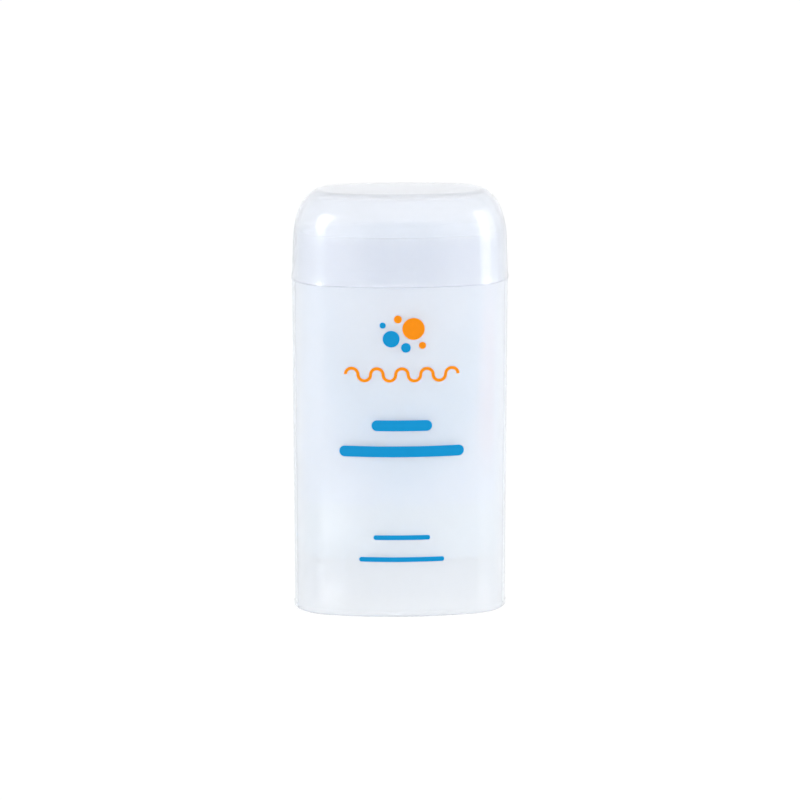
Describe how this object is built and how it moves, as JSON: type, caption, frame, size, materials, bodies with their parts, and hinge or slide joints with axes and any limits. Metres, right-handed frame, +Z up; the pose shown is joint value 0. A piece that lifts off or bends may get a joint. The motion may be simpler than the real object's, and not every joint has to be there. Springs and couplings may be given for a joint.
{
  "type": "deodorant stick",
  "caption": "Oval push-up stick in a translucent plastic barrel, open at the base for a fingertip, with a sliding elevator, a cast stick and a lift-off cap.",
  "frame": {"origin": "centre of the base, on the surface that the stick stands on", "axes": "+Z up along the stick to the cap, +X to the right across its width, and the printed front faces -Y"},
  "size_m": [0.049, 0.025, 0.0962],
  "materials": {
    "frosted_barrel": "translucent polypropylene with a fine satin mould finish",
    "orange_ink": "screen-printed ink",
    "blue_ink": "screen-printed ink",
    "elevator_plastic": "translucent polypropylene",
    "cast_stick": "waxy, slightly cloudy cast stick",
    "clear_cap": "smooth translucent polypropylene"
  },
  "bodies": {
    "barrel": {"barrel": "frosted_barrel", "print_orange": "orange_ink", "print_blue": "blue_ink"},
    "stick": {"elevator": "elevator_plastic", "product_stick": "cast_stick"},
    "cap": {"cap": "clear_cap"}
  },
  "joints": [
    {"name": "stick_push", "type": "slide", "parent": "barrel", "child": "stick", "axis": [0, 0, 1], "range_m": [0, 0.06]},
    {"name": "cap_lift", "type": "slide", "parent": "stick", "child": "cap", "axis": [0, 0, 1], "range_m": [0, 0.04]}
  ]
}
